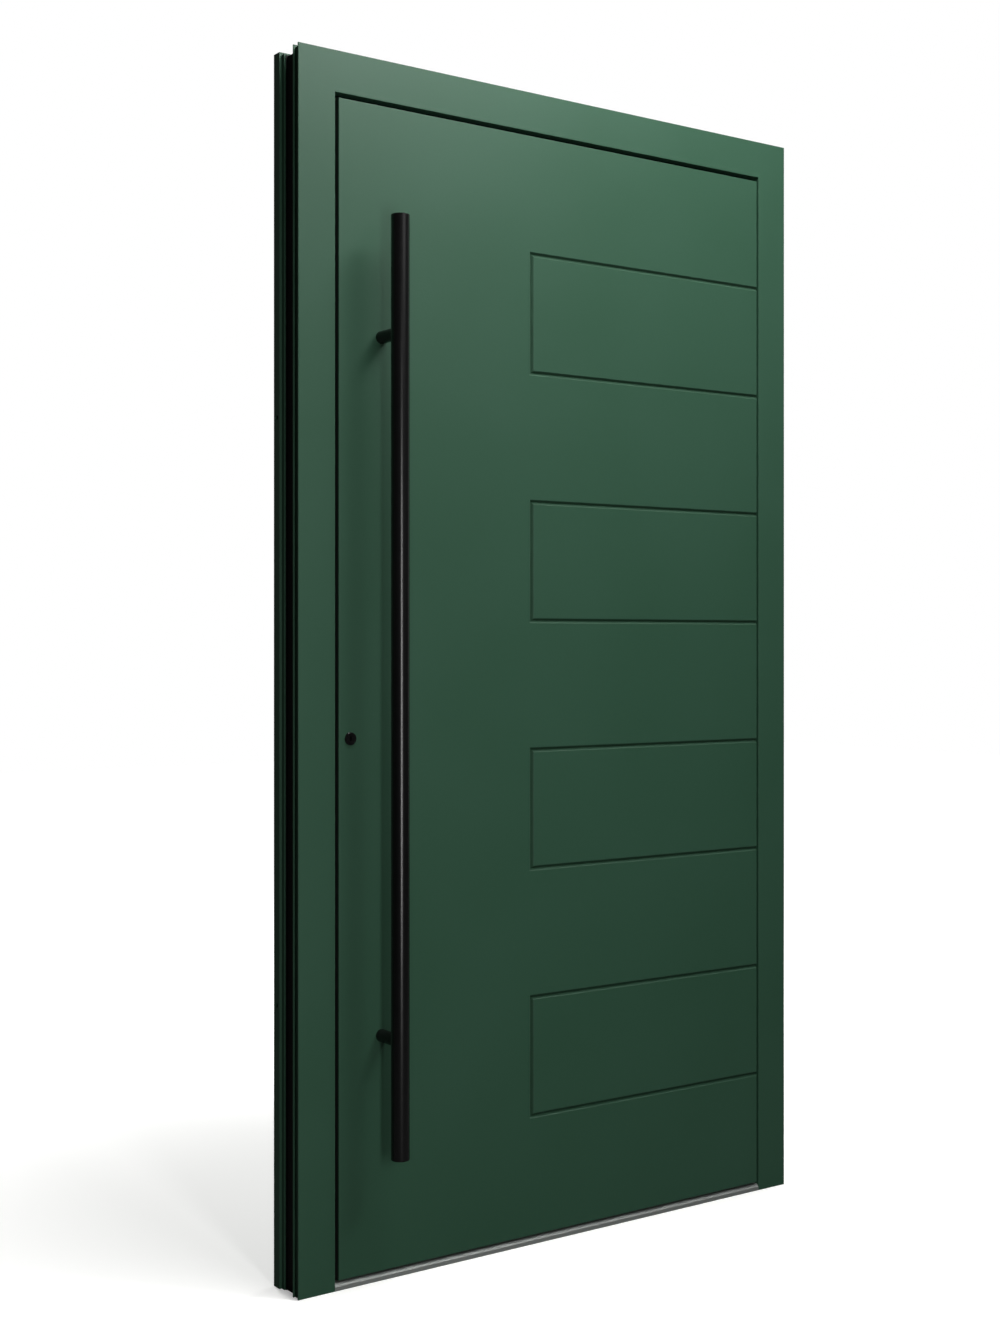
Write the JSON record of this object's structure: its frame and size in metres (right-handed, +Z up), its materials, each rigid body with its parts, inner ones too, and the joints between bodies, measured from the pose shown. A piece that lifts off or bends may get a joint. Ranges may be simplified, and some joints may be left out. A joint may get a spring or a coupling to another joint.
{
  "type": "entrance door",
  "caption": "Aluminium entrance door in its frame: the leaf swings inwards and has a grooved outer sheet, a tall round pull bar, an inside lever and a lock with hooks.",
  "frame": {"origin": "middle of the threshold's underside, at mid-depth of the frame, on the finished floor", "axes": "+Z up, +Y from outside to inside, +X to the right seen from outside, so that the hinges are on the right"},
  "size_m": [1.12, 0.224, 2.1],
  "materials": {
    "coated_aluminium": "fine matt powder coat, dark green",
    "black_coated_steel": "satin black coat",
    "anodised_aluminium": "natural anodised",
    "polyamide": "matt black",
    "rubber_gasket": "matt",
    "zinc_plated_steel": "zinc plated",
    "stainless_steel": "satin",
    "satin_stainless_steel": "satin brushed",
    "insulation_foam": "rigid foam"
  },
  "bodies": {
    "frame": {"jamb_left_outer": "coated_aluminium", "jamb_right_outer": "coated_aluminium", "head_outer": "coated_aluminium", "jamb_breaks": "polyamide", "head_breaks": "polyamide", "jamb_left_inner": "coated_aluminium", "jamb_right_inner": "coated_aluminium", "head_inner": "coated_aluminium", "frame_corner_cleats": "anodised_aluminium", "rebate_gasket": "rubber_gasket", "threshold_outer": "anodised_aluminium", "threshold_core": "polyamide", "threshold_inner": "anodised_aluminium", "strike_plates": "stainless_steel", "hinge_frame_halves": "coated_aluminium", "hinge_pins": "stainless_steel"},
    "lever": {"lever_handle": "satin_stainless_steel", "spindle": "zinc_plated_steel", "follower": "zinc_plated_steel"},
    "latch": {"latch_bolt": "stainless_steel"},
    "cylinder_rotor": {"cylinder_plug": "black_coated_steel", "cylinder_cam": "zinc_plated_steel", "thumb_turn": "satin_stainless_steel"},
    "deadbolt": {"deadbolt": "stainless_steel"},
    "upper_hook": {"upper_hook": "stainless_steel"},
    "lower_hook": {"lower_hook": "stainless_steel"},
    "drive_rods": {"drive_rods": "zinc_plated_steel"},
    "leaf": {"outer_sheet": "coated_aluminium", "edge_gasket": "rubber_gasket", "insulation_core": "insulation_foam", "inner_sheet": "coated_aluminium", "panel_gasket": "rubber_gasket", "panel_beads": "coated_aluminium", "lock_stile_outer": "coated_aluminium", "lock_stile_inner": "coated_aluminium", "hinge_stile_outer": "coated_aluminium", "hinge_stile_inner": "coated_aluminium", "top_rail_outer": "coated_aluminium", "top_rail_inner": "coated_aluminium", "bottom_rail_outer": "coated_aluminium", "bottom_rail_inner": "coated_aluminium", "stile_breaks": "polyamide", "rail_breaks": "polyamide", "leaf_corner_cleats": "anodised_aluminium", "bottom_seal": "rubber_gasket", "lock_faceplate": "stainless_steel", "main_lock_case": "zinc_plated_steel", "hook_cases": "zinc_plated_steel", "hinge_leaf_halves": "coated_aluminium", "inside_roses": "satin_stainless_steel", "cylinder_body": "black_coated_steel", "pull_bar": "black_coated_steel", "pull_bar_caps": "black_coated_steel", "standoffs": "black_coated_steel", "pull_bar_bolts": "zinc_plated_steel"}
  },
  "joints": [
    {"name": "leaf_swing", "type": "hinge", "parent": "frame", "child": "leaf", "pos_m": [0.5075, 0.0535, 1.05], "axis": [0, 0, -1], "range_deg": [0, 100]},
    {"name": "lever_turn", "type": "hinge", "parent": "leaf", "child": "lever", "pos_m": [-0.4595, 0.0425, 1.026], "axis": [0, 1, 0], "range_deg": [0, 40], "stiffness_Nm_per_rad": 1.5, "springref_deg": -28.65},
    {"name": "latch_slide", "type": "slide", "parent": "leaf", "child": "latch", "axis": [1, 0, 0], "range_m": [0, 0.011]},
    {"name": "cylinder_turn", "type": "hinge", "parent": "leaf", "child": "cylinder_rotor", "pos_m": [-0.4595, 0, 0.934], "axis": [0, 1, 0], "range_deg": [0, 360]},
    {"name": "deadbolt_throw", "type": "slide", "parent": "leaf", "child": "deadbolt", "axis": [-1, 0, 0], "range_m": [0, 0.02]},
    {"name": "upper_hook_turn", "type": "hinge", "parent": "leaf", "child": "upper_hook", "pos_m": [-0.489, 0.0205, 1.68], "axis": [0, -1, 0], "range_deg": [0, 90]},
    {"name": "lower_hook_turn", "type": "hinge", "parent": "leaf", "child": "lower_hook", "pos_m": [-0.489, 0.0205, 0.26], "axis": [0, -1, 0], "range_deg": [0, 90]},
    {"name": "drive_rods_slide", "type": "slide", "parent": "leaf", "child": "drive_rods", "axis": [0, 0, 1], "range_m": [0, 0.02]}
  ],
  "couplings": [
    {"joint": "latch_slide", "follows": "lever_turn", "m_per_rad": 0.015756},
    {"joint": "deadbolt_throw", "follows": "drive_rods_slide", "ratio": 1},
    {"joint": "upper_hook_turn", "follows": "drive_rods_slide", "rad_per_m": 78.539},
    {"joint": "lower_hook_turn", "follows": "drive_rods_slide", "rad_per_m": 78.539},
    {"joint": "cylinder_turn", "follows": "drive_rods_slide", "rad_per_m": 314.16}
  ]
}
